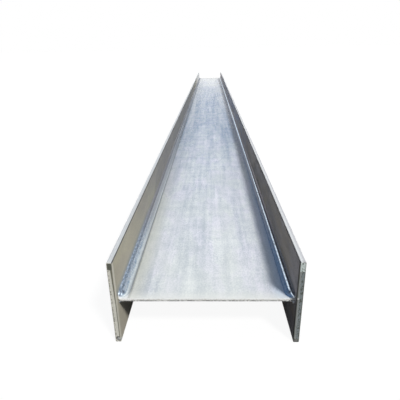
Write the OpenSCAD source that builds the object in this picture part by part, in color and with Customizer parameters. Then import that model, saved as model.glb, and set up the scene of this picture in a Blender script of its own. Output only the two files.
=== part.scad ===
// Welded steel H-beam, hot-dip galvanised, lying on the edges of its flanges.
// Three plates: a web lying level, and an upright flange along each side of it, which
// reaches a little past the web at both ends. Fillet welds run along the four corners.
// X runs across the depth of the section, Y along the beam, Z up.
// The origin is on the floor, under the middle of the beam.

/* [Section] */
// Depth of the section, over the outer faces of the two flanges
section_depth = 250; // [160:1:500]
// Width of each flange plate, which is the height of the beam as it lies
flange_width = 125; // [80:1:300]
// Thickness of each flange plate
flange_thickness = 8; // [5:0.5:20]
// Thickness of the web plate
web_thickness = 5; // [4:0.5:16]
// Radius on the four long edges of each flange plate
flange_edge_radius = 1.5; // [0.4:0.1:2.4]

/* [Length] */
// Length of the beam, from one end of its flanges to the other
beam_length = 4000; // [500:10:12000]
// Bare flange left beyond each end of the web
web_setback = 9; // [0:0.5:40]

/* [Upper welds] */
// Reach of an upper weld across the web
upper_web_leg = 12; // [4:0.5:16]
// Reach of an upper weld up the flange
upper_flange_leg = 9; // [4:0.5:16]
// Rise of an upper weld's crown over the line between its two toes
upper_crown = 1.3; // [0.3:0.1:1.6]

/* [Lower welds] */
// Reach of a lower weld across the web
lower_web_leg = 6; // [4:0.5:16]
// Reach of a lower weld down the flange
lower_flange_leg = 6; // [4:0.5:16]
// Rise of a lower weld's crown over the line between its two toes
lower_crown = 0.8; // [0.3:0.1:1.6]

/* [Weld ends] */
// Bare corner left between each end of the web and the tip of each weld
weld_setback = 2; // [1:0.5:20]

/* [Hidden] */
// Depth of the web plate, which fills the space between the flanges
web_depth = section_depth - 2 * flange_thickness;
// Length of the web plate, which stops short of both ends of the flanges
web_length = beam_length - 2 * web_setback;
// Level of the middle of the web, halfway up the flanges
web_level = flange_width / 2;
// Number of sides on the drawn arcs
$fn = 64;

// Stands a section, drawn across and up, on its end and runs it along Y, about Y = 0.
module run_along_beam(length) {
    rotate([90, 0, 0])
        linear_extrude(height = length, center = true)
            children();
}

// Section of one flange plate: its inner face on X = 0, its lower edge on the floor.
module flange_section() {
    radius = flange_edge_radius;
    translate([0, radius])
        square([flange_thickness, flange_width - 2 * radius]);
    translate([radius, 0])
        square([flange_thickness - 2 * radius, flange_width]);
    for (across = [radius, flange_thickness - radius], up = [radius, flange_width - radius])
        translate([across, up])
            circle(r = radius);
}

// Flange plate on the +X side of the web.
module flange() {
    translate([web_depth / 2, 0, 0])
        run_along_beam(beam_length)
            flange_section();
}

// Section of a fillet weld in a corner at the origin, with the web along X and the flange
// along Y. Its face is an arc through both toes, which bulges by the crown.
module weld_section(web_leg, flange_leg, crown) {
    chord = sqrt(web_leg * web_leg + flange_leg * flange_leg);
    face_radius = (chord * chord / 4 + crown * crown) / (2 * crown);
    sunk = face_radius - crown;
    intersection() {
        square(web_leg + flange_leg);
        translate([web_leg / 2 - sunk * flange_leg / chord, flange_leg / 2 - sunk * web_leg / chord])
            circle(r = face_radius);
    }
}

// Fillet weld in a corner along Y, with the web along X and the flange up Z. Each end is
// the same section turned round the corner, so the bead runs out in a rounded nose.
module weld_bead(web_leg, flange_leg, crown) {
    straight = web_length - 2 * (weld_setback + web_leg);
    run_along_beam(straight)
        weld_section(web_leg, flange_leg, crown);
    for (end = [0, 1])
        mirror([0, end, 0])
            translate([0, straight / 2, 0])
                rotate_extrude(angle = 90)
                    weld_section(web_leg, flange_leg, crown);
}

// Weld over the web, on the -X side.
module upper_weld() {
    translate([-web_depth / 2, 0, web_level + web_thickness / 2])
        weld_bead(upper_web_leg, upper_flange_leg, upper_crown);
}

// Weld under the web, on the -X side.
module lower_weld() {
    translate([-web_depth / 2, 0, web_level - web_thickness / 2])
        mirror([0, 0, 1])
            weld_bead(lower_web_leg, lower_flange_leg, lower_crown);
}

module web_plate() {
    color([0.77, 0.80, 0.82])
        translate([0, 0, web_level])
            run_along_beam(web_length)
                square([web_depth, web_thickness], center = true);
}

module left_flange() {
    color([0.66, 0.65, 0.61])
        mirror([1, 0, 0])
            flange();
}

module right_flange() {
    color([0.60, 0.59, 0.56])
        flange();
}

module upper_left_weld() {
    color([0.55, 0.62, 0.70])
        upper_weld();
}

module upper_right_weld() {
    color([0.55, 0.62, 0.70])
        mirror([1, 0, 0])
            upper_weld();
}

module lower_left_weld() {
    color([0.50, 0.55, 0.60])
        lower_weld();
}

module lower_right_weld() {
    color([0.50, 0.55, 0.60])
        mirror([1, 0, 0])
            lower_weld();
}

web_plate();
left_flange();
right_flange();
upper_left_weld();
upper_right_weld();
lower_left_weld();
lower_right_weld();
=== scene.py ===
# A galvanised steel H-beam, welded from three plates, lying on the edges of its flanges.
# Sizes are in metres: X across the section, Y along the beam, Z up from the floor.
import math

import bpy
from mathutils import Matrix, Vector


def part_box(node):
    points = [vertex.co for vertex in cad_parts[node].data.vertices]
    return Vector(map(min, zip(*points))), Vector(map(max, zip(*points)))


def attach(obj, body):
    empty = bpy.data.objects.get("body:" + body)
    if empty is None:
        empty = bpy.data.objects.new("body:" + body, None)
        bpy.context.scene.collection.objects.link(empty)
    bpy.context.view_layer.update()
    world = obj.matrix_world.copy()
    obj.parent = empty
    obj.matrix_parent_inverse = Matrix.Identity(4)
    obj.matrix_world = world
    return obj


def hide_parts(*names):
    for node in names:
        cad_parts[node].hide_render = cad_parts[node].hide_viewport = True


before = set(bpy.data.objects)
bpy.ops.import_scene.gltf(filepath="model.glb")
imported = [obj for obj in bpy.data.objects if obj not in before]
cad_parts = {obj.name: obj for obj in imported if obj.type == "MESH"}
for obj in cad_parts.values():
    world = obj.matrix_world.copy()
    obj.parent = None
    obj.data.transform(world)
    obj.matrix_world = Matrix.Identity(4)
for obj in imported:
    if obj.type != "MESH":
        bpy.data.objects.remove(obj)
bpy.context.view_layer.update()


# Web plate: a long flat steel plate that lies level between the flanges and ties them together.
# It is sheared from sheet, so its ends have a bright upper rim with a dark torn line under it. It was
# dipped in molten zinc with the whole beam, and its skin froze in clouds and long streaks.
def feed(tree, socket, value):
    """Sets a socket to a value, or links it to another node's output."""
    if isinstance(value, bpy.types.NodeSocket):
        tree.links.new(value, socket)
    else:
        socket.default_value = value


def add_node(tree, kind, feeds=None, **options):
    """Adds a node with its options, and feeds its named sockets."""
    node = tree.nodes.new(kind)
    for option, value in options.items():
        setattr(node, option, value)
    for label, value in (feeds or {}).items():
        feed(tree, node.inputs[label], value)
    return node


def number(tree, operation, *values):
    """Works out a number with a Math node."""
    node = add_node(tree, "ShaderNodeMath", operation=operation)
    for socket, value in zip(node.inputs, values):
        feed(tree, socket, value)
    return node.outputs["Value"]


def product(tree, first, *others):
    """Multiplies several numbers."""
    for other in others:
        first = number(tree, "MULTIPLY", first, other)
    return first


def vector(tree, operation, *values):
    """Works out a vector with a Vector Math node."""
    node = add_node(tree, "ShaderNodeVectorMath", operation=operation)
    for socket, value in zip(node.inputs, values):
        feed(tree, socket, value)
    return node.outputs["Vector"]


def part_of(tree, axis, whole):
    """Takes one component, X, Y or Z, out of a vector."""
    return add_node(tree, "ShaderNodeSeparateXYZ", {"Vector": whole}).outputs[axis]


def between(tree, value, start, end, low=0.0, high=1.0):
    """Goes smoothly from low to high as a value goes from start to end."""
    return add_node(tree, "ShaderNodeMapRange", {
        "Value": value,
        "From Min": start,
        "From Max": end,
        "To Min": low,
        "To Max": high,
    }, interpolation_type="SMOOTHSTEP").outputs["Result"]


def cloudy(tree, where, stretch, detail=2.0, roughness=0.5):
    """A noise between 0 and 1, with the given number of clouds in a metre along X, Y and Z."""
    return add_node(tree, "ShaderNodeTexNoise", {
        "Vector": vector(tree, "MULTIPLY", where, stretch),
        "Scale": 1.0,
        "Detail": detail,
        "Roughness": roughness,
    }).outputs[0]


def new_tree(kind, name, inputs, outputs):
    """Starts a node tree with named sockets, and returns it with its inner inputs and outputs."""
    tree = bpy.data.node_groups.new(name, kind)
    for label, socket_type in inputs.items():
        tree.interface.new_socket(name=label, in_out="INPUT", socket_type=socket_type)
    for label, socket_type in outputs.items():
        tree.interface.new_socket(name=label, in_out="OUTPUT", socket_type=socket_type)
    return tree, tree.nodes.new("NodeGroupInput").outputs, tree.nodes.new("NodeGroupOutput").inputs


def keep_number(tree, geometry, name, value):
    """Stores a number on every point of a mesh, for its material to read."""
    return add_node(tree, "GeometryNodeStoreNamedAttribute", {
        "Geometry": geometry,
        "Name": name,
        "Value": value,
    }, data_type="FLOAT", domain="POINT").outputs["Geometry"]


def finish_tree(tree, geometry, material, result):
    """Ends a tree: smooth shading, real geometry and the material."""
    smooth = add_node(tree, "GeometryNodeSetShadeSmooth", {"Geometry": geometry})
    real = add_node(tree, "GeometryNodeRealizeInstances", {"Geometry": smooth.outputs["Geometry"]})
    finish = add_node(tree, "GeometryNodeSetMaterial", {
        "Geometry": real.outputs["Geometry"],
        "Material": material,
    })
    tree.links.new(finish.outputs["Geometry"], result["Geometry"])


def grow(name, tree, sizes, start_mesh):
    """Runs a tree on a mesh and keeps the result as the plain mesh of a new piece."""
    piece = bpy.data.objects.new(name, start_mesh)
    bpy.context.scene.collection.objects.link(piece)
    modifier = piece.modifiers.new(tree.name, "NODES")
    modifier.node_group = tree
    for socket in tree.interface.items_tree:
        if socket.in_out == "INPUT" and socket.name in sizes:
            modifier[socket.identifier] = sizes[socket.name]
    evaluated = piece.evaluated_get(bpy.context.evaluated_depsgraph_get())
    grown_mesh = bpy.data.meshes.new_from_object(evaluated)
    piece.modifiers.remove(modifier)
    piece.data = grown_mesh
    grown_mesh.name = name
    return piece


def make_plate_tree():
    """A plate between two corners, with rounded edges, an uneven zinc skin and rough cut ends."""
    tree, given, result = new_tree("GeometryNodeTree", "cut_plate", {
        "Low corner": "NodeSocketVector",
        "High corner": "NodeSocketVector",
        "Edge rounding": "NodeSocketVector",
        "Points across": "NodeSocketInt",
        "Points along": "NodeSocketInt",
        "Points up": "NodeSocketInt",
        "Zinc waves": "NodeSocketFloat",
        "Cut marks": "NodeSocketFloat",
        "Seed": "NodeSocketFloat",
        "Material": "NodeSocketMaterial",
    }, {"Geometry": "NodeSocketGeometry"})
    block = add_node(tree, "GeometryNodeMeshCube", {
        "Size": (2.0, 2.0, 2.0),
        "Vertices X": given["Points across"],
        "Vertices Y": given["Points along"],
        "Vertices Z": given["Points up"],
    })

    # The even grid of the block is drawn together towards its edges, then given its size.
    quarter_turn = (math.pi / 2,) * 3
    even = tree.nodes.new("GeometryNodeInputPosition").outputs["Position"]
    gathered = vector(tree, "SINE", vector(tree, "MULTIPLY", even, quarter_turn))
    whole = vector(tree, "SUBTRACT", given["High corner"], given["Low corner"])
    half = vector(tree, "MULTIPLY", whole, (0.5,) * 3)
    middle = vector(tree, "ADD", given["Low corner"], half)
    boxed = vector(tree, "MULTIPLY", gathered, half)

    # Each point near an edge is drawn onto a rounding about the core of the plate.
    rounding = given["Edge rounding"]
    core_high = vector(tree, "SUBTRACT", half, rounding)
    core_low = vector(tree, "MULTIPLY", core_high, (-1.0,) * 3)
    core = vector(tree, "MINIMUM", vector(tree, "MAXIMUM", boxed, core_low), core_high)
    off_core = vector(tree, "SUBTRACT", boxed, core)
    outward = vector(tree, "NORMALIZE", vector(tree, "DIVIDE", off_core, rounding))
    rounded = vector(tree, "ADD", core, vector(tree, "MULTIPLY", outward, rounding))
    smooth_skin = vector(tree, "ADD", middle, rounded)

    # Marks for the material: cut ends, edges round the ends, long edges, and narrow faces.
    facing = vector(tree, "ABSOLUTE", outward)
    sideways, endways, upwards = (part_of(tree, axis, facing) for axis in "XYZ")
    cut = between(tree, endways, 0.75, 0.95)
    off_end = number(tree, "MAXIMUM", sideways, upwards)
    end_edge = between(tree, product(tree, endways, off_end), 0.2, 0.4)
    long_edge = between(tree, product(tree, sideways, upwards), 0.08, 0.20)
    narrow = between(tree, upwards, 0.6, 0.9)

    # Zinc froze in slow waves along the plate, and cutting left ridges and pits across its ends.
    seeded = vector(tree, "ADD", smooth_skin, given["Seed"])
    waves = cloudy(tree, seeded, (16.0, 2.2, 16.0))
    ridges = cloudy(tree, seeded, (120.0, 1.0, 700.0), detail=1.0)
    pits = between(tree, cloudy(tree, seeded, (620.0, 620.0, 420.0), detail=1.0), 0.56, 0.70)
    roughness = number(tree, "ADD", product(tree, ridges, 0.5), pits)
    wave_depth = product(tree, waves, given["Zinc waves"])
    cut_depth = product(tree, roughness, cut, given["Cut marks"])
    inward = product(tree, number(tree, "ADD", wave_depth, cut_depth), -1.0)
    skin = vector(tree, "ADD", smooth_skin, vector(tree, "MULTIPLY", outward, inward))

    marked = block.outputs["Mesh"]
    marks = {"cut": cut, "end_edge": end_edge, "long_edge": long_edge, "narrow": narrow}
    for name, share in marks.items():
        marked = keep_number(tree, marked, name, share)
    shaped = add_node(tree, "GeometryNodeSetPosition", {"Geometry": marked, "Position": skin})
    finish_tree(tree, shaped.outputs["Geometry"], given["Material"], result)
    return tree


def mark(tree, name):
    """Reads a number that the mesh keeps at its points."""
    return add_node(tree, "ShaderNodeAttribute", attribute_name=name).outputs["Fac"]


def layered(tree, color, *layers):
    """Lays colours over a colour, each by its own share from 0 to 1."""
    for share, layer in layers:
        mix = add_node(tree, "ShaderNodeMix", data_type="RGBA")
        share_socket, under, over = mix.inputs[0], mix.inputs[6], mix.inputs[7]
        feed(tree, share_socket, share)
        feed(tree, under, color)
        feed(tree, over, layer)
        color = mix.outputs[2]
    return color


def make_zinc_group():
    """Hot-dip zinc: streaks, clouds and grain in two tones, tinted and warm patches, painted shade at
    the sides, and painted reflection along one face.
    """
    tree, given, result = new_tree("ShaderNodeTree", "zinc_skin", {
        "Bright zinc": "NodeSocketColor",
        "Dull zinc": "NodeSocketColor",
        "Tinted zinc": "NodeSocketColor",
        "Tint share": "NodeSocketFloat",
        "Warm zinc": "NodeSocketColor",
        "Warm share": "NodeSocketFloat",
        "Painted reflection": "NodeSocketColor",
        "Painted reflection share": "NodeSocketFloat",
        "Painted reflection start": "NodeSocketFloat",
        "Painted reflection full": "NodeSocketFloat",
        "Painted reflection fade": "NodeSocketFloat",
        "Painted reflection end": "NodeSocketFloat",
        "Painted reflection face": "NodeSocketFloat",
        "Painted reflection reach": "NodeSocketFloat",
        "Painted reflection mottle": "NodeSocketFloat",
        "Outer bright": "NodeSocketColor",
        "Outer dull": "NodeSocketColor",
        "Outer share": "NodeSocketFloat",
        "Painted side shade": "NodeSocketFloat",
        "Streaks": "NodeSocketFloat",
        "Cross marks": "NodeSocketFloat",
        "Clouds": "NodeSocketFloat",
        "Grain": "NodeSocketFloat",
        "Smooth": "NodeSocketFloat",
        "Rough": "NodeSocketFloat",
        "Seed": "NodeSocketFloat",
    }, {"Color": "NodeSocketColor", "Roughness": "NodeSocketFloat", "Height": "NodeSocketFloat"})
    where = tree.nodes.new("ShaderNodeTexCoord").outputs["Object"]
    seeded = vector(tree, "ADD", where, given["Seed"])
    streaks = cloudy(tree, seeded, (36.0, 1.1, 36.0), detail=6.0, roughness=0.72)
    cross_marks = cloudy(tree, seeded, (7.0, 42.0, 7.0), detail=6.0, roughness=0.75)
    clouds = cloudy(tree, seeded, (64.0, 22.0, 64.0), detail=5.0, roughness=0.70)
    grain = cloudy(tree, seeded, (520.0, 300.0, 520.0))
    patches = cloudy(tree, seeded, (9.0, 3.0, 9.0), detail=3.0)

    tone = 0.5
    patterns = {"Streaks": streaks, "Cross marks": cross_marks, "Clouds": clouds, "Grain": grain}
    for strength, pattern in patterns.items():
        swing = number(tree, "SUBTRACT", pattern, 0.5)
        tone = number(tree, "ADD", tone, product(tree, swing, given[strength]))
    tone = number(tree, "MINIMUM", number(tree, "MAXIMUM", tone, 0.0), 1.0)
    tint_patches = between(tree, cloudy(tree, seeded, (40.0, 14.0, 40.0), detail=3.0), 0.42, 0.60)
    tint = product(tree, tint_patches, given["Tint share"])
    bright = layered(tree, given["Bright zinc"], (tint, given["Tinted zinc"]))
    warm = product(tree, between(tree, patches, 0.42, 0.62), given["Warm share"])
    # The painted reflection stands for glancing reflections: it changes along the beam and lies on one
    # face only.
    drift = product(tree, number(tree, "SUBTRACT", patches, 0.5), 0.5)
    drifted = number(tree, "ADD", part_of(tree, "Y", where), drift)
    reflection_rise = between(tree, drifted, given["Painted reflection start"], given["Painted reflection full"])
    reflection_fall = between(tree, drifted, given["Painted reflection end"], given["Painted reflection fade"])
    sideways = part_of(tree, "X", where)
    off_face = number(tree, "ABSOLUTE", number(tree, "SUBTRACT", sideways, given["Painted reflection face"]))
    on_face = between(tree, number(tree, "SUBTRACT", off_face, given["Painted reflection reach"]), 0.001, -0.001)
    blots = cloudy(tree, seeded, (60.0, 7.0, 60.0), detail=4.0, roughness=0.7)
    uneven = between(tree, blots, 0.35, 0.65, 0.88, 1.0)
    painted_reflection = product(tree, reflection_rise, reflection_fall, on_face, uneven, given["Painted reflection share"])
    # Painted shade: the sides of a plate are darkened next to the welds.
    side_shade_mask = between(tree, number(tree, "ABSOLUTE", sideways), 0.045, 0.105)
    painted_side_shade = (0.10, 0.11, 0.15, 1.0)
    mottle = product(tree, tone, given["Painted reflection mottle"])
    mottled_reflection = layered(tree, given["Painted reflection"], (mottle, bright))
    color = layered(
        tree,
        given["Dull zinc"],
        (tone, bright),
        (warm, given["Warm zinc"]),
        (product(tree, side_shade_mask, given["Painted side shade"]), painted_side_shade),
        (painted_reflection, mottled_reflection),
    )
    outer = layered(tree, given["Outer dull"], (tone, given["Outer bright"]))
    off_inner = product(tree, number(tree, "SUBTRACT", 1.0, on_face), given["Outer share"])
    roughness = between(tree, patches, 0.35, 0.65, given["Rough"], given["Smooth"])
    height = number(tree, "ADD", product(tree, grain, 0.12), clouds)
    tree.links.new(layered(tree, color, (off_inner, outer)), result["Color"])
    tree.links.new(roughness, result["Roughness"])
    tree.links.new(height, result["Height"])
    return tree


def make_cut_group():
    """The edges of a plate: bare steel at its cut ends, with pits and stains, and its narrow faces."""
    tree, given, result = new_tree("ShaderNodeTree", "plate_edges", {
        "Skin": "NodeSocketColor",
        "Cut steel": "NodeSocketColor",
        "Pits": "NodeSocketColor",
        "Pits start": "NodeSocketFloat",
        "Stain": "NodeSocketColor",
        "Stain low": "NodeSocketFloat",
        "Stain high": "NodeSocketFloat",
        "Stain raggedness": "NodeSocketFloat",
        "Inner face": "NodeSocketFloat",
        "Band": "NodeSocketColor",
        "Band width": "NodeSocketFloat",
        "Band flare": "NodeSocketFloat",
        "Flare start": "NodeSocketFloat",
        "End edges": "NodeSocketColor",
        "End rim": "NodeSocketColor",
        "End rim start": "NodeSocketFloat",
        "End rim full": "NodeSocketFloat",
        "End rim share": "NodeSocketFloat",
        "Top zinc": "NodeSocketColor",
        "Top outer zinc": "NodeSocketColor",
        "Top share": "NodeSocketFloat",
        "Seam": "NodeSocketColor",
        "Dark inner edge share": "NodeSocketFloat",
        "Seed": "NodeSocketFloat",
    }, {"Color": "NodeSocketColor"})
    where = tree.nodes.new("ShaderNodeTexCoord").outputs["Object"]
    seeded = vector(tree, "ADD", where, given["Seed"])
    off_inner = number(tree, "SUBTRACT", part_of(tree, "X", where), given["Inner face"])
    from_inner = number(tree, "ABSOLUTE", off_inner)

    # Bare steel: a band along the inner side, a ragged stain, and pits along the outer side.
    specks = between(tree, cloudy(tree, seeded, (620.0, 620.0, 420.0), detail=1.0), 0.50, 0.60)
    past_pits = number(tree, "SUBTRACT", from_inner, given["Pits start"])
    pits = product(tree, specks, between(tree, past_pits, -0.001, 0.001, 0.1, 1.0))
    rag = number(tree, "SUBTRACT", cloudy(tree, seeded, (260.0,) * 3), 0.5)
    ragged = product(tree, rag, given["Stain raggedness"])
    level = number(tree, "ADD", part_of(tree, "Z", where), ragged)
    over_low = between(tree, number(tree, "SUBTRACT", level, given["Stain low"]), -0.0003, 0.0003)
    under_high = between(tree, number(tree, "SUBTRACT", level, given["Stain high"]), 0.0003, -0.0003)
    stain = product(tree, over_low, under_high)
    above_start = number(tree, "SUBTRACT", part_of(tree, "Z", where), given["Flare start"])
    flare = product(tree, number(tree, "MAXIMUM", above_start, 0.0), given["Band flare"])
    band_width = number(tree, "ADD", given["Band width"], flare)
    past_band = number(tree, "SUBTRACT", from_inner, band_width)
    steel = layered(
        tree,
        given["Cut steel"],
        (between(tree, past_band, 0.0004, -0.0004), given["Band"]),
        (stain, given["Stain"]),
        (pits, given["Pits"]),
    )

    # Zinc: bright narrow faces, a dark line along the inner long edges, and a rim of zinc at the near
    # end.
    inner = between(tree, from_inner, 0.0024, 0.0014)
    lines = between(tree, cloudy(tree, seeded, (900.0, 3.0, 900.0)), 0.35, 0.65, 0.5, 1.0)
    to_end = between(tree, part_of(tree, "Y", where), given["End rim start"], given["End rim full"])
    end_rim = product(tree, to_end, given["End rim share"])
    end_edges = product(tree, mark(tree, "end_edge"), between(tree, stain, 0.0, 1.0, 0.85, 0.3))
    to_outer = between(tree, from_inner, 0.0040, 0.0058)
    top_zinc = layered(tree, given["Top zinc"], (to_outer, given["Top outer zinc"]))
    color = layered(
        tree,
        given["Skin"],
        (end_rim, given["End rim"]),
        (product(tree, mark(tree, "narrow"), lines, given["Top share"]), top_zinc),
        (product(tree, mark(tree, "long_edge"), inner, given["Dark inner edge share"]), given["Seam"]),
        (mark(tree, "cut"), steel),
        (end_edges, given["End edges"]),
    )
    tree.links.new(color, result["Color"])
    return tree


plate_tree = make_plate_tree()
zinc_group = make_zinc_group()
cut_group = make_cut_group()


def fill_group(tree, group, values):
    """Adds a shader group to a material, with the material's own values."""
    return add_node(tree, "ShaderNodeGroup", values, node_tree=group)


def make_plate_zinc(name, metallic, specular, bump, zinc, edges, stains_and_painted_light):
    """Zinc on a plate: the skin's finish, stains and painted light along it, and bare steel at its cut
    ends.
    """
    material = bpy.data.materials.new(name)
    material.use_nodes = True
    tree = material.node_tree
    shader = tree.nodes["Principled BSDF"]
    skin = fill_group(tree, zinc_group, zinc)
    where = tree.nodes.new("ShaderNodeTexCoord").outputs["Object"]
    sideways, along, up = (part_of(tree, axis, where) for axis in "XYZ")
    ways = {"rise": sideways, "fall": sideways, "along": along, "above": up, "below": up}
    stained = skin.outputs["Color"]
    # Each layer is a stain, or painted shade or reflection, within its limits on the plate.
    for stain in stains_and_painted_light:
        limits = [between(tree, way, *stain[limit]) for limit, way in ways.items() if limit in stain]
        share = product(tree, *limits, stain["share"])
        stained = layered(tree, stained, (share, stain["color"]))
    rim = fill_group(tree, cut_group, {"Skin": stained, **edges})
    relief = add_node(tree, "ShaderNodeBump", {
        "Height": skin.outputs["Height"],
        "Strength": bump,
        "Distance": 0.001,
    })
    feed(tree, shader.inputs["Base Color"], rim.outputs["Color"])
    feed(tree, shader.inputs["Roughness"], skin.outputs["Roughness"])
    feed(tree, shader.inputs["Normal"], relief.outputs["Normal"])
    feed(tree, shader.inputs["Metallic"], metallic)
    feed(tree, shader.inputs["Specular IOR Level"], specular)
    return material


far_away = 10.0
end_recess = Vector((0.0, 0.0008, 0.0))
web_low, web_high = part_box("web_plate")
past_left_weld = (web_low.x + 0.0130, web_low.x + 0.0150)
web_zinc = make_plate_zinc("web_zinc", metallic=0.08, specular=0.15, bump=0.02, zinc={
    "Bright zinc": (0.895, 0.925, 0.94, 1.0),
    "Dull zinc": (0.55, 0.595, 0.655, 1.0),
    "Tinted zinc": (0.915, 0.90, 1.0, 1.0),
    "Tint share": 1.0,
    "Warm zinc": (0.75, 0.78, 0.74, 1.0),
    "Warm share": 0.45,
    # Painted reflection: the blue of the sky, mirrored along the web's middle at a glancing angle.
    "Painted reflection": (0.0, 0.11, 0.28, 1.0),
    "Painted reflection share": 1.0,
    "Painted reflection mottle": 0.6,
    "Painted reflection start": -2.15,
    "Painted reflection full": -0.6,
    "Painted reflection fade": -0.3,
    "Painted reflection end": 2.2,
    "Painted reflection face": 0.0,
    "Painted reflection reach": far_away,
    "Painted side shade": 0.15,
    "Streaks": 2.5,
    "Cross marks": 1.0,
    "Clouds": 1.4,
    "Grain": 1.5,
    "Smooth": 0.23,
    "Rough": 0.30,
    "Seed": 3.1,
}, edges={
    "Cut steel": (0.97, 0.98, 0.97, 1.0),
    "Pits": (0.78, 0.77, 0.74, 1.0),
    "Pits start": 0.0,
    "Stain": (0.05, 0.05, 0.045, 1.0),
    "Stain low": web_low.z - 0.0010,
    "Stain high": web_low.z + 0.0017,
    "Stain raggedness": 0.0008,
    "Inner face": far_away,
    "End edges": (0.86, 0.88, 0.88, 1.0),
    "End rim": (0.82, 0.83, 0.80, 1.0),
    "End rim start": web_low.y + 0.024,
    "End rim full": web_low.y,
    "End rim share": 0.6,
    "Top share": 0.0,
    "Dark inner edge share": 0.0,
    "Seed": 1.7,
}, stains_and_painted_light=[
    # Painted shade: a dark line in the crease along the toe of the left weld.
    {
        "color": (0.16, 0.18, 0.20, 1.0),
        "share": 0.8,
        "rise": (web_low.x + 0.0112, web_low.x + 0.0124),
        "fall": (web_low.x + 0.0165, web_low.x + 0.0140),
    },
    # Olive beside that line at the near end, and grey painted shade beside the weld further along.
    {
        "color": (0.52, 0.51, 0.40, 1.0),
        "share": 0.36,
        "rise": past_left_weld,
        "fall": (web_low.x + 0.0420, web_low.x + 0.0180),
        "along": (-1.10, -1.75),
    },
    {
        "color": (0.22, 0.26, 0.31, 1.0),
        "share": 0.28,
        "rise": past_left_weld,
        "fall": (web_low.x + 0.1000, web_low.x + 0.0180),
        "along": (-1.95, -1.50),
    },
    # Grey painted shade beside the right weld, from a little way in, that softens the edge of the right
    # flange's shadow.
    {
        "color": (0.20, 0.25, 0.32, 1.0),
        "share": 0.2,
        "rise": (0.0, web_high.x - 0.0270),
        "fall": (web_high.x - 0.0200, web_high.x - 0.0320),
        "along": (-2.00, -1.55),
    },
    # Dull grey at the far end.
    {
        "color": (0.44, 0.45, 0.46, 1.0),
        "share": 0.6,
        "along": (web_high.y - 0.13, web_high.y - 0.03),
    },
    # Blue painted shade close to the right weld at the near end, where the right flange's shadow falls.
    {
        "color": (0.54, 0.69, 0.93, 1.0),
        "share": 0.65,
        "rise": (web_high.x - 0.0330, web_high.x - 0.0110),
        "along": (-1.10, -1.85),
    },
])
web = grow("web", plate_tree, {
    "Low corner": web_low + end_recess,
    "High corner": web_high - end_recess,
    "Edge rounding": (0.0002, 0.0008, 0.0008),
    "Points across": 90,
    "Points along": 480,
    "Points up": 9,
    "Zinc waves": 0.0003,
    "Cut marks": 0.0003,
    "Seed": 2.3,
    "Material": web_zinc,
}, bpy.data.meshes.new("web_start"))
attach(web, "root")
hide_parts("web_plate")


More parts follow.
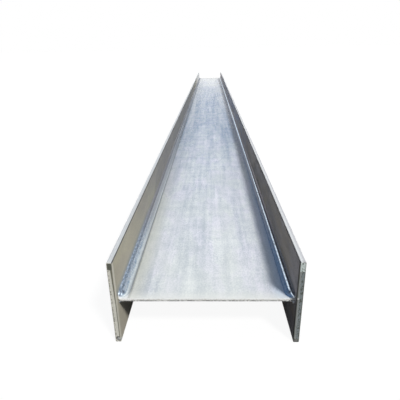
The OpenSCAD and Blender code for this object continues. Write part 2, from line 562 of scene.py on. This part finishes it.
# Flanges: two upright steel plates, one along each side of the web, standing on their edges.
# They are of thicker plate than the web and reach a little past its ends. Their zinc is duller,
# bright along the narrow edges, and their cut ends are bare: pale on the left, dark on the right.
flange_rounding = (0.0015, 0.0006, 0.0015)
left_low, left_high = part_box("left_flange")
left_inner_face = (left_high.x - 0.0030, left_high.x - 0.0020)
flange_finish = {
    "left_flange": {
        "inner_side": "high",
        "stain_height": 0.0105,
        "zinc": {
            "Bright zinc": (0.70, 0.655, 0.54, 1.0),
            "Dull zinc": (0.50, 0.48, 0.405, 1.0),
            "Tinted zinc": (0.73, 0.70, 0.50, 1.0),
            "Tint share": 0.8,
            "Warm zinc": (0.58, 0.52, 0.40, 1.0),
            # Painted reflection: the inner face darkens towards the far end, where the shaded right
            # flange is mirrored.
            "Painted reflection": (0.215, 0.217, 0.240, 1.0),
            "Painted reflection share": 0.95,
            "Painted reflection start": -2.1,
            "Painted reflection full": -1.5,
            "Painted reflection fade": -0.2,
            "Painted reflection end": 2.2,
            "Seed": 11.3,
        },
        "edges": {
            "Cut steel": (0.80, 0.785, 0.71, 1.0),
            "Pits": (0.14, 0.14, 0.11, 1.0),
            "Pits start": 0.0058,
            "Stain": (0.15, 0.155, 0.13, 1.0),
            "Band": (0.22, 0.21, 0.165, 1.0),
            "Band width": 0.0022,
            "Band flare": 0.025,
            "End edges": (0.62, 0.60, 0.53, 1.0),
            "End rim": (0.72, 0.69, 0.60, 1.0),
            "Top zinc": (0.66, 0.69, 0.72, 1.0),
            "Top outer zinc": (0.70, 0.72, 0.75, 1.0),
            "Seed": 5.2,
        },
        "stains_and_painted_light": [
            # Paler zinc below the web.
            {
                "color": (0.90, 0.86, 0.82, 1.0),
                "share": 0.12,
                "rise": left_inner_face,
                "below": (web_high.z, web_low.z),
            },
            # Blue-grey painted shade just over the weld at the near end.
            {
                "color": (0.26, 0.32, 0.41, 1.0),
                "share": 0.45,
                "rise": left_inner_face,
                "along": (-1.6, -1.8),
                "above": (web_high.z + 0.004, web_high.z + 0.006),
                "below": (web_high.z + 0.021, web_high.z + 0.009),
            },
            # Painted reflection: bright towards the far end, where the inner face is seen at a glancing
            # angle.
            {
                "color": (0.92, 0.93, 0.95, 1.0),
                "share": 0.85,
                "rise": left_inner_face,
                "along": (0.7, 1.9),
            },
        ],
    },
    "right_flange": {
        "inner_side": "low",
        "stain_height": 0.0140,
        "zinc": {
            "Bright zinc": (0.87, 0.82, 0.86, 1.0),
            "Dull zinc": (0.64, 0.60, 0.635, 1.0),
            "Tinted zinc": (0.92, 0.77, 0.56, 1.0),
            "Tint share": 0.8,
            "Warm zinc": (0.80, 0.73, 0.71, 1.0),
            # Painted shade: this inner face is dark from the near end to about the middle, and the
            # paler zinc further along is painted reflection.
            "Painted reflection": (0.232, 0.214, 0.196, 1.0),
            "Painted reflection share": 0.97,
            "Painted reflection start": -2.5,
            "Painted reflection full": -1.75,
            "Painted reflection fade": -1.6,
            "Painted reflection end": -0.65,
            "Seed": 17.9,
        },
        "edges": {
            "Cut steel": (0.265, 0.30, 0.31, 1.0),
            "Pits": (0.13, 0.14, 0.125, 1.0),
            "Pits start": 0.0030,
            "Stain": (0.70, 0.78, 0.76, 1.0),
            "Band": (0.34, 0.36, 0.36, 1.0),
            "Band width": 0.0030,
            "Band flare": 0.0,
            "End edges": (0.15, 0.16, 0.14, 1.0),
            "End rim": (0.20, 0.19, 0.18, 1.0),
            "Top zinc": (0.80, 0.82, 0.84, 1.0),
            "Top outer zinc": (0.63, 0.62, 0.66, 1.0),
            "Seed": 8.6,
        },
        "stains_and_painted_light": [],
    },
}
for node, finish in flange_finish.items():
    flange_low, flange_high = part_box(node)
    inner_face = flange_high.x if finish["inner_side"] == "high" else flange_low.x
    flange_zinc = make_plate_zinc(node + "_zinc", metallic=0.0, specular=0.0, bump=0.4, zinc={
        **finish["zinc"],
        "Outer bright": (0.68, 0.69, 0.69, 1.0),
        "Outer dull": (0.46, 0.47, 0.48, 1.0),
        "Outer share": 1.0,
        "Warm share": 0.6,
        "Painted reflection face": inner_face,
        "Painted reflection reach": 0.003,
        "Painted reflection mottle": 0.25,
        "Streaks": 0.8,
        "Cross marks": 0.3,
        "Clouds": 1.2,
        "Grain": 1.8,
        "Smooth": 0.48,
        "Rough": 0.66,
    }, edges={
        **finish["edges"],
        "Stain low": flange_high.z - finish["stain_height"],
        "Stain high": far_away,
        "Stain raggedness": 0.003,
        "Inner face": inner_face,
        "End rim start": flange_low.y + 0.0070,
        "End rim full": flange_low.y + 0.0045,
        "End rim share": 1.0,
        "Flare start": web_low.z,
        "Top share": 1.0,
        "Seam": (0.07, 0.07, 0.075, 1.0),
        "Dark inner edge share": 0.9,
    }, stains_and_painted_light=finish["stains_and_painted_light"])
    flange = grow(node + "_plate", plate_tree, {
        "Low corner": flange_low + end_recess,
        "High corner": flange_high - end_recess,
        "Edge rounding": flange_rounding,
        "Points across": 14,
        "Points along": 480,
        "Points up": 76,
        "Zinc waves": 0.0003,
        "Cut marks": 0.0005,
        "Seed": flange_low.x * 31,
        "Material": flange_zinc,
    }, bpy.data.meshes.new(node + "_start"))
    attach(flange, "root")
    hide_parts(node)


# Fillet welds: four long beads of weld metal in the corners between the web and the flanges.
# Each was laid along its corner by machine, so it froze as a low ridge with a row of bowed
# ripples, and it stops in a rounded nose with a small crater. Zinc lies on it glossy and blue,
# and on the right welds the blue is painted shade and sky reflection.
def make_bead_tree():
    """Sweeps a weld's section along its corner, with rounded noses, ripples and end craters."""
    tree, given, result = new_tree("GeometryNodeTree", "fillet_weld", {
        "Section": "NodeSocketGeometry",
        "Start": "NodeSocketVector",
        "End": "NodeSocketVector",
        "Rings": "NodeSocketInt",
        "Nose": "NodeSocketFloat",
        "Ripple pitch": "NodeSocketFloat",
        "Ripple height": "NodeSocketFloat",
        "Ripple bow": "NodeSocketFloat",
        "Wander": "NodeSocketFloat",
        "Crater depth": "NodeSocketFloat",
        "Crater radius": "NodeSocketFloat",
        "Seed": "NodeSocketFloat",
        "Material": "NodeSocketMaterial",
    }, {"Geometry": "NodeSocketGeometry"})
    line = add_node(tree, "GeometryNodeCurvePrimitiveLine", {
        "Start": given["Start"],
        "End": given["End"],
    })
    corner = add_node(tree, "GeometryNodeResampleCurve", {
        "Curve": line.outputs["Curve"],
        "Count": given["Rings"],
    })
    section = add_node(tree, "GeometryNodeMeshToCurve", {"Mesh": given["Section"]})

    # Distance from the nearer tip, and the share of the full section that is left near it.
    place = tree.nodes.new("GeometryNodeInputPosition").outputs["Position"]
    along = part_of(tree, "Y", place)
    half_length = part_of(tree, "Y", given["End"])
    from_tip = number(tree, "SUBTRACT", half_length, number(tree, "ABSOLUTE", along))
    into_nose = number(tree, "SUBTRACT", 1.0, number(tree, "DIVIDE", from_tip, given["Nose"]))
    into_nose = number(tree, "MINIMUM", number(tree, "MAXIMUM", into_nose, 0.0), 0.99)
    taper = number(tree, "SQRT", number(tree, "SUBTRACT", 1.0, product(tree, into_nose, into_nose)))
    row = add_node(tree, "ShaderNodeCombineXYZ", {"X": given["Seed"], "Y": along}).outputs["Vector"]
    unsteady = number(tree, "SUBTRACT", cloudy(tree, row, (1.0, 45.0, 1.0)), 0.5)
    sway = number(tree, "ADD", 1.0, product(tree, unsteady, given["Wander"]))
    swept = add_node(tree, "GeometryNodeCurveToMesh", {
        "Curve": corner.outputs["Curve"],
        "Profile Curve": section.outputs["Curve"],
        "Scale": product(tree, taper, sway),
        "Fill Caps": True,
    })

    # Ripples bow along the bead at its middle, and die out at its toes.
    def kept(name):
        node = add_node(tree, "GeometryNodeInputNamedAttribute", {"Name": name}, data_type="FLOAT")
        return node.outputs["Attribute"]

    across, relief = kept("across"), kept("relief")
    off_middle = number(tree, "SUBTRACT", across, 0.5)
    bow = product(tree, off_middle, off_middle, -4.0, given["Ripple bow"])
    jitter_steps = 2.0
    jitter = product(tree, cloudy(tree, row, (1.0, 90.0, 1.0), detail=1.0), jitter_steps)
    steps = number(tree, "DIVIDE", along, given["Ripple pitch"])
    phase = number(tree, "ADD", number(tree, "ADD", steps, bow), jitter)
    ripple = number(tree, "ABSOLUTE", number(tree, "SINE", product(tree, phase, math.pi)))
    level_share = 0.7
    swell = number(tree, "SUBTRACT", ripple, level_share)
    rise = product(tree, swell, given["Ripple height"], relief, taper)

    # The crater is a round dimple on the ridge, a little back from the tip.
    crater_back = 0.6
    crater_squeeze = 4.5
    past_crater = number(tree, "SUBTRACT", from_tip, product(tree, given["Nose"], crater_back))
    past_crater = number(tree, "DIVIDE", past_crater, given["Crater radius"])
    beside_crater = product(tree, off_middle, crater_squeeze)
    past_square = product(tree, past_crater, past_crater)
    beside_square = product(tree, beside_crater, beside_crater)
    apart = number(tree, "ADD", past_square, beside_square)
    crater = number(tree, "EXPONENT", product(tree, apart, -1.0))
    lift = number(tree, "SUBTRACT", rise, product(tree, crater, given["Crater depth"]))
    from_end = vector(tree, "SUBTRACT", place, given["End"])
    from_corner = vector(tree, "MULTIPLY", from_end, (1.0, 0.0, 1.0))
    moved = vector(tree, "MULTIPLY", vector(tree, "NORMALIZE", from_corner), lift)

    # The depth of the ripple valleys is kept for the painted shade in them.
    valley_shade = product(tree, number(tree, "SUBTRACT", 1.0, ripple), relief)
    marked = keep_number(tree, swept.outputs["Mesh"], "valley_shade", valley_shade)
    marked = keep_number(tree, marked, "crater", crater)
    marked = keep_number(tree, marked, "tip", between(tree, from_tip, 0.0013, 0.0005))
    shaped = add_node(tree, "GeometryNodeSetPosition", {"Geometry": marked, "Offset": moved})
    finish_tree(tree, shaped.outputs["Geometry"], given["Material"], result)
    return tree


def make_weld_zinc(name, tones):
    """Glossy zinc on weld metal: one tone towards the web, one towards the flange, a painted highlight
    on the ridge between, and painted shade in the ripple valleys.
    """
    material = bpy.data.materials.new(name)
    material.use_nodes = True
    tree = material.node_tree
    shader = tree.nodes["Principled BSDF"]
    skin = fill_group(tree, zinc_group, {
        "Bright zinc": tones["web_bright"],
        "Dull zinc": tones["web_dull"],
        "Streaks": 0.5,
        "Clouds": 1.0,
        "Grain": 0.6,
        "Smooth": 0.26,
        "Rough": 0.44,
        "Seed": 23.4,
    })
    where = tree.nodes.new("ShaderNodeTexCoord").outputs["Object"]
    across = mark(tree, "across")
    along = part_of(tree, "Y", where)
    # Tones that change along the beam are painted reflection, standing for the mirrored sky seen at a
    # glancing angle.
    distant = between(tree, along, -1.91, -1.68)
    most_distant = between(tree, along, -1.65, -0.9)
    blotches = between(tree, cloudy(tree, where, (560.0, 130.0, 560.0)), 0.38, 0.60)
    sparks = between(tree, cloudy(tree, where, (520.0, 230.0, 520.0)), 0.58, 0.68)
    inner_patches = between(tree, cloudy(tree, where, (520.0, 100.0, 520.0)), 0.40, 0.60, 0.35, 1.0)
    inner = product(tree, between(tree, across, *tones["inner_rise"]), inner_patches)
    flange_side = layered(
        tree,
        tones["flange_bright"],
        (blotches, tones["flange_dull"]),
        (product(tree, sparks, tones["spark_share"]), tones["ridge"]),
        (distant, tones["flange_far"]),
        (most_distant, tones["flange_farthest"]),
    )
    web_side = layered(
        tree,
        skin.outputs["Color"],
        (inner, tones["web_inner"]),
        (product(tree, distant, 0.8), tones["web_far"]),
        (most_distant, tones["web_farthest"]),
    )
    broken = between(tree, cloudy(tree, where, (200.0, 260.0, 200.0)), 0.35, 0.55, 0.55, 1.0)
    toe = layered(tree, tones["toe"], (most_distant, tones["web_farthest"]))
    # The ridge colour is a painted highlight, where the crest mirrors the sky; far along the beam it is
    # painted wider.
    ridge_rise = between(tree, across, 0.49, 0.53)
    highlight_fall = between(tree, across, 0.67, 0.62)
    near_painted_highlight = product(tree, ridge_rise, highlight_fall, broken, tones["painted_highlight_share"])
    far_highlight_rise = between(tree, across, 0.38, 0.46)
    far_highlight_fall = between(tree, across, 0.74, 0.66)
    far_painted_highlight = product(tree, far_highlight_rise, far_highlight_fall, most_distant, tones["far_painted_highlight_share"])
    ridge = number(tree, "MAXIMUM", near_painted_highlight, far_painted_highlight)
    color = layered(
        tree,
        web_side,
        (between(tree, across, 0.46, 0.58), flange_side),
        # Painted shade in the ripple valleys.
        (product(tree, mark(tree, "valley_shade"), 0.6), tones["valley_shade"]),
        (ridge, tones["ridge"]),
        (between(tree, across, 0.16, 0.07), toe),
        (mark(tree, "tip"), tones["tip"]),
        (product(tree, mark(tree, "crater"), 0.9), tones["crater"]),
    )
    relief = add_node(tree, "ShaderNodeBump", {
        "Height": skin.outputs["Height"],
        "Strength": 0.3,
        "Distance": 0.0006,
    })
    feed(tree, shader.inputs["Base Color"], color)
    feed(tree, shader.inputs["Roughness"], skin.outputs["Roughness"])
    feed(tree, shader.inputs["Normal"], relief.outputs["Normal"])
    feed(tree, shader.inputs["Metallic"], between(tree, ridge, 0.0, 1.0, 0.35, 0.95))
    feed(tree, shader.inputs["Specular IOR Level"], tones["gloss"])
    return material


def weld_outline(web_leg, flange_leg, crown_rise, ridge_rise, arc_steps, sunk):
    """Points round a weld's section: way along the web, way along the flange, share of the arc."""
    ridge_at, ridge_width = 0.58, 0.13
    groove_at, groove_width = 0.86, 0.09
    chord = math.hypot(web_leg, flange_leg)
    face_radius = (chord ** 2 / 4 + crown_rise ** 2) / (2 * crown_rise)
    to_centre = face_radius - crown_rise
    centre_web = web_leg / 2 - to_centre * flange_leg / chord
    centre_flange = flange_leg / 2 - to_centre * web_leg / chord
    first = math.atan2(-centre_flange, web_leg - centre_web)
    last = math.atan2(flange_leg - centre_flange, -centre_web)
    outline = [(-sunk, -sunk, 0.0), (web_leg, -sunk, 0.0)]
    for step in range(arc_steps + 1):
        share = step / arc_steps
        turn = first + (last - first) * share
        ridge = math.exp(-((share - ridge_at) / ridge_width) ** 2)
        groove = math.exp(-((share - groove_at) / groove_width) ** 2)
        radius = face_radius + ridge_rise * (ridge - groove)
        web_way = centre_web + radius * math.cos(turn)
        flange_way = centre_flange + radius * math.sin(turn)
        outline.append((web_way, flange_way, share))
    outline.append((-sunk, flange_leg, 1.0))
    return outline


def weld_section_mesh(name, outline, web_side, flange_side):
    """A closed loop of edges round a weld's section, with what each point keeps for the bead."""
    if web_side * flange_side > 0:
        outline = outline[::-1]
    points = []
    shares = []
    for web_way, flange_way, share in outline:
        points.append((web_way * web_side, -flange_way * flange_side, 0.0))
        shares.append(share)
    loop = [(i, (i + 1) % len(points)) for i in range(len(points))]
    section = bpy.data.meshes.new(name)
    section.from_pydata(points, loop, [])
    across = section.attributes.new("across", "FLOAT", "POINT")
    across.data.foreach_set("value", shares)
    relief = section.attributes.new("relief", "FLOAT", "POINT")
    reliefs = [math.sin(math.pi * share) * (0.35 + 0.65 * share) for share in shares]
    relief.data.foreach_set("value", reliefs)
    return section


bead_tree = make_bead_tree()
left_weld_zinc = make_weld_zinc("left_weld_zinc", {
    "web_bright": (0.86, 0.91, 0.93, 1.0),
    "web_dull": (0.53, 0.60, 0.64, 1.0),
    "web_inner": (0.30, 0.40, 0.52, 1.0),
    "inner_rise": (0.14, 0.40),
    "web_far": (0.31, 0.32, 0.345, 1.0),
    "web_farthest": (0.12, 0.15, 0.20, 1.0),
    "flange_bright": (0.33, 0.41, 0.52, 1.0),
    "flange_dull": (0.17, 0.215, 0.285, 1.0),
    "flange_far": (0.20, 0.205, 0.23, 1.0),
    "flange_farthest": (0.10, 0.115, 0.15, 1.0),
    "spark_share": 0.6,
    "valley_shade": (0.10, 0.13, 0.19, 1.0),
    "ridge": (0.72, 0.78, 0.84, 1.0),
    "painted_highlight_share": 0.25,
    "far_painted_highlight_share": 0.0,
    "gloss": 0.2,
    "toe": (0.54, 0.60, 0.63, 1.0),
    "tip": (0.86, 0.88, 0.92, 1.0),
    "crater": (0.04, 0.05, 0.08, 1.0),
})
# The right welds lie in the right flange's shadow: their dark blue tones are painted shade and sky
# reflection.
right_weld_shaded_zinc = make_weld_zinc("right_weld_shaded_zinc", {
    "web_bright": (0.26, 0.36, 0.54, 1.0),
    "web_dull": (0.16, 0.25, 0.42, 1.0),
    "web_inner": (0.06, 0.17, 0.35, 1.0),
    "inner_rise": (-0.1, 0.3),
    "web_far": (0.22, 0.26, 0.34, 1.0),
    "web_farthest": (0.22, 0.26, 0.34, 1.0),
    "flange_bright": (0.05, 0.06, 0.09, 1.0),
    "flange_dull": (0.02, 0.03, 0.05, 1.0),
    "flange_far": (0.10, 0.09, 0.12, 1.0),
    "flange_farthest": (0.10, 0.09, 0.12, 1.0),
    "spark_share": 0.1,
    "valley_shade": (0.04, 0.06, 0.11, 1.0),
    "ridge": (0.72, 0.85, 0.99, 1.0),
    "painted_highlight_share": 1.0,
    "far_painted_highlight_share": 1.0,
    "gloss": 0.5,
    "toe": (0.10, 0.20, 0.38, 1.0),
    "tip": (0.62, 0.68, 0.74, 1.0),
    "crater": (0.03, 0.04, 0.06, 1.0),
})
weld_sunk = 0.0006
ripple_rings = 5
weld_rows = {
    "upper": {"crown": 0.0013, "ridge": 0.0009, "steps": 12, "pitch": 0.0062, "height": 0.0007},
    "lower": {"crown": 0.0008, "ridge": 0.0004, "steps": 7, "pitch": 0.0066, "height": 0.0005},
}
for level, row in weld_rows.items():
    for side, web_side in (("left", 1.0), ("right", -1.0)):
        node = f"{level}_{side}_weld"
        weld_low, weld_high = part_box(node)
        flange_side = 1.0 if level == "upper" else -1.0
        root_x = weld_low.x if side == "left" else weld_high.x
        root_z = weld_low.z if level == "upper" else weld_high.z
        web_leg = weld_high.x - weld_low.x
        flange_leg = weld_high.z - weld_low.z
        outline = weld_outline(web_leg, flange_leg, row["crown"], row["ridge"], row["steps"], weld_sunk)
        bead = grow(node + "_bead", bead_tree, {
            "Start": (root_x, weld_low.y, root_z),
            "End": (root_x, weld_high.y, root_z),
            "Rings": round((weld_high.y - weld_low.y) / row["pitch"] * ripple_rings),
            "Nose": web_leg,
            "Ripple pitch": row["pitch"],
            "Ripple height": row["height"],
            "Ripple bow": 0.7,
            "Wander": 0.16,
            "Crater depth": 0.0014,
            "Crater radius": 0.0022,
            "Seed": root_x * 40 + root_z * 90,
            "Material": left_weld_zinc if side == "left" else right_weld_shaded_zinc,
        }, weld_section_mesh(node + "_section", outline, web_side, flange_side))
        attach(bead, "root")
        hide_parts(node)


# Zinc drops: small lumps of zinc that ran to the low corners of the near end and froze there.
# The largest clings to the foot of the left flange, one to the foot of the right flange, and the
# rest sit where web and flange meet.
def make_drop_tree():
    """Puts a lumpy drop at each point of a mesh, with the size kept at that point."""
    tree, given, result = new_tree("GeometryNodeTree", "zinc_drops", {
        "Places": "NodeSocketGeometry",
        "Lumps": "NodeSocketFloat",
        "Material": "NodeSocketMaterial",
    }, {"Geometry": "NodeSocketGeometry"})
    ball = add_node(tree, "GeometryNodeMeshIcoSphere", {"Radius": 1.0, "Subdivisions": 4})
    size = add_node(tree, "GeometryNodeInputNamedAttribute", {"Name": "size"}, data_type="FLOAT_VECTOR")
    drops = add_node(tree, "GeometryNodeInstanceOnPoints", {
        "Points": given["Places"],
        "Instance": ball.outputs["Mesh"],
        "Scale": size.outputs["Attribute"],
    })
    real = add_node(tree, "GeometryNodeRealizeInstances", {"Geometry": drops.outputs["Instances"]})
    place = tree.nodes.new("GeometryNodeInputPosition").outputs["Position"]
    normal = tree.nodes.new("GeometryNodeInputNormal").outputs["Normal"]
    dent = product(tree, cloudy(tree, place, (380.0,) * 3), given["Lumps"], -1.0)
    shaped = add_node(tree, "GeometryNodeSetPosition", {
        "Geometry": real.outputs["Geometry"],
        "Offset": vector(tree, "MULTIPLY", normal, dent),
    })
    finish_tree(tree, shaped.outputs["Geometry"], given["Material"], result)
    return tree


def make_drop_zinc():
    """Lumpy zinc, from dark to bright by the tone of each drop."""
    material = bpy.data.materials.new("drop_zinc")
    material.use_nodes = True
    tree = material.node_tree
    shader = tree.nodes["Principled BSDF"]
    skin = fill_group(tree, zinc_group, {
        "Bright zinc": (0.34, 0.34, 0.32, 1.0),
        "Dull zinc": (0.03, 0.03, 0.03, 1.0),
        "Clouds": 1.2,
        "Grain": 1.6,
        "Smooth": 0.36,
        "Rough": 0.58,
        "Seed": 31.0,
    })
    color = layered(tree, skin.outputs["Color"], (mark(tree, "tone"), (0.86, 0.87, 0.86, 1.0)))
    feed(tree, shader.inputs["Base Color"], color)
    feed(tree, shader.inputs["Roughness"], skin.outputs["Roughness"])
    feed(tree, shader.inputs["Metallic"], 0.1)
    return material


right_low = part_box("right_flange")[0]
drops = [
    {
        "place": (left_high.x - 0.0038, left_low.y + 0.0018, 0.0066),
        "size": (0.0040, 0.0014, 0.0062),
        "tone": 0.0,
    },
    {
        "place": (left_high.x - 0.0030, left_low.y + 0.0024, 0.0050),
        "size": (0.0040, 0.0024, 0.0048),
        "tone": 0.3,
    },
    {
        "place": (right_low.x + 0.0030, right_low.y + 0.0015, 0.0036),
        "size": (0.0034, 0.0015, 0.0036),
        "tone": 0.0,
    },
    {
        "place": (right_low.x + 0.0017, right_low.y + 0.0011, 0.0705),
        "size": (0.0015, 0.0011, 0.0013),
        "tone": 0.9,
    },
    {
        "place": (right_low.x - 0.0014, web_low.y + 0.0012, 0.0577),
        "size": (0.0018, 0.0016, 0.0010),
        "tone": 0.6,
    },
    {
        "place": (left_high.x + 0.0016, web_low.y + 0.0010, 0.0636),
        "size": (0.0018, 0.0014, 0.0018),
        "tone": 0.6,
    },
]
drop_places = bpy.data.meshes.new("drop_places")
drop_places.from_pydata([drop["place"] for drop in drops], [], [])
drop_sizes = drop_places.attributes.new("size", "FLOAT_VECTOR", "POINT")
drop_sizes.data.foreach_set("vector", [length for drop in drops for length in drop["size"]])
drop_tones = drop_places.attributes.new("tone", "FLOAT", "POINT")
drop_tones.data.foreach_set("value", [drop["tone"] for drop in drops])
zinc_drops = grow("zinc_drops", make_drop_tree(), {
    "Lumps": 0.0008,
    "Material": make_drop_zinc(),
}, drop_places)
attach(zinc_drops, "root")


# Floor, light and camera: a pale floor that runs out of sight and keeps the beam's shadow, a soft
# lamp from the front right, a weak level lamp from the rear left for the outer faces, a pale
# surround, and the camera of the photograph.
def seen_directly(tree):
    """1 for a ray from the camera, a mirror or glass, and 0 for one that only carries light."""
    rays = tree.nodes.new("ShaderNodeLightPath").outputs
    mirrored = number(tree, "MAXIMUM", rays["Is Glossy Ray"], rays["Is Transmission Ray"])
    return number(tree, "MAXIMUM", rays["Is Camera Ray"], mirrored)


floor_half = 300.0
floor_corners = [(-floor_half, -floor_half, 0.0), (floor_half, -floor_half, 0.0)]
floor_corners += [(floor_half, floor_half, 0.0), (-floor_half, floor_half, 0.0)]
floor_mesh = bpy.data.meshes.new("floor")
floor_mesh.from_pydata(floor_corners, [], [(0, 1, 2, 3)])
floor = bpy.data.objects.new("floor", floor_mesh)
bpy.context.scene.collection.objects.link(floor)
floor_paint = bpy.data.materials.new("floor_paint")
floor_paint.use_nodes = True
floor_tree = floor_paint.node_tree
floor_shader = floor_tree.nodes["Principled BSDF"]
floor_white = 0.93
floor_glow = product(floor_tree, seen_directly(floor_tree), floor_white)
feed(floor_tree, floor_shader.inputs["Base Color"], (0.08, 0.08, 0.08, 1.0))
feed(floor_tree, floor_shader.inputs["Roughness"], 0.9)
feed(floor_tree, floor_shader.inputs["Specular IOR Level"], 0.0)
feed(floor_tree, floor_shader.inputs["Emission Color"], (1.0, 1.0, 1.0, 1.0))
feed(floor_tree, floor_shader.inputs["Emission Strength"], floor_glow)
floor_mesh.materials.append(floor_paint)

surround = bpy.data.worlds.new("surround")
bpy.context.scene.world = surround
surround.use_nodes = True
surround_tree = surround.node_tree
surround_way = surround_tree.nodes.new("ShaderNodeTexCoord").outputs["Generated"]
surround_rear = between(surround_tree, part_of(surround_tree, "Y", surround_way), -0.1, 0.6)
surround_height = between(surround_tree, part_of(surround_tree, "Z", surround_way), 0.1, 0.65)
surround_color = layered(
    surround_tree,
    (0.02, 0.02, 0.02, 1.0),
    (surround_rear, (0.15, 0.16, 0.17, 1.0)),
    (surround_height, (0.22, 0.255, 0.30, 1.0)),
    (seen_directly(surround_tree), (1.0, 1.0, 1.0, 1.0)),
)
feed(surround_tree, surround_tree.nodes["Background"].inputs["Color"], surround_color)

towards_lamp = Vector((0.372, -0.525, 0.765))
lamp = bpy.data.objects.new("lamp", bpy.data.lights.new("lamp", "SUN"))
lamp.data.energy = 3.2
lamp.data.color = (1.0, 0.985, 0.95)
lamp.data.angle = math.radians(9.0)
lamp.rotation_euler = towards_lamp.to_track_quat("Z", "Y").to_euler()
bpy.context.scene.collection.objects.link(lamp)

towards_fill = Vector((-0.8, 0.6, 0.0))
fill = bpy.data.objects.new("fill", bpy.data.lights.new("fill", "SUN"))
fill.data.energy = 1.2
fill.data.angle = math.radians(0.5)
fill.rotation_euler = towards_fill.to_track_quat("Z", "Y").to_euler()
bpy.context.scene.collection.objects.link(fill)

camera = bpy.data.objects.new("camera", bpy.data.cameras.new("camera"))
camera.data.sensor_width = 36.0
camera.data.lens = 33.858
camera.data.clip_end = 1000.0
camera_place = (0.0083, -2.4031, 0.3717)
camera_down = math.radians(21.912)
camera_left = math.radians(1.900)
camera_roll = math.radians(-1.183)
turned = Matrix.Rotation(camera_left, 4, "Z") @ Matrix.Rotation(math.pi / 2 - camera_down, 4, "X")
camera.matrix_world = Matrix.Translation(camera_place) @ turned @ Matrix.Rotation(camera_roll, 4, "Z")
bpy.context.scene.collection.objects.link(camera)
bpy.context.scene.camera = camera
bpy.context.scene.view_settings.view_transform = "Standard"
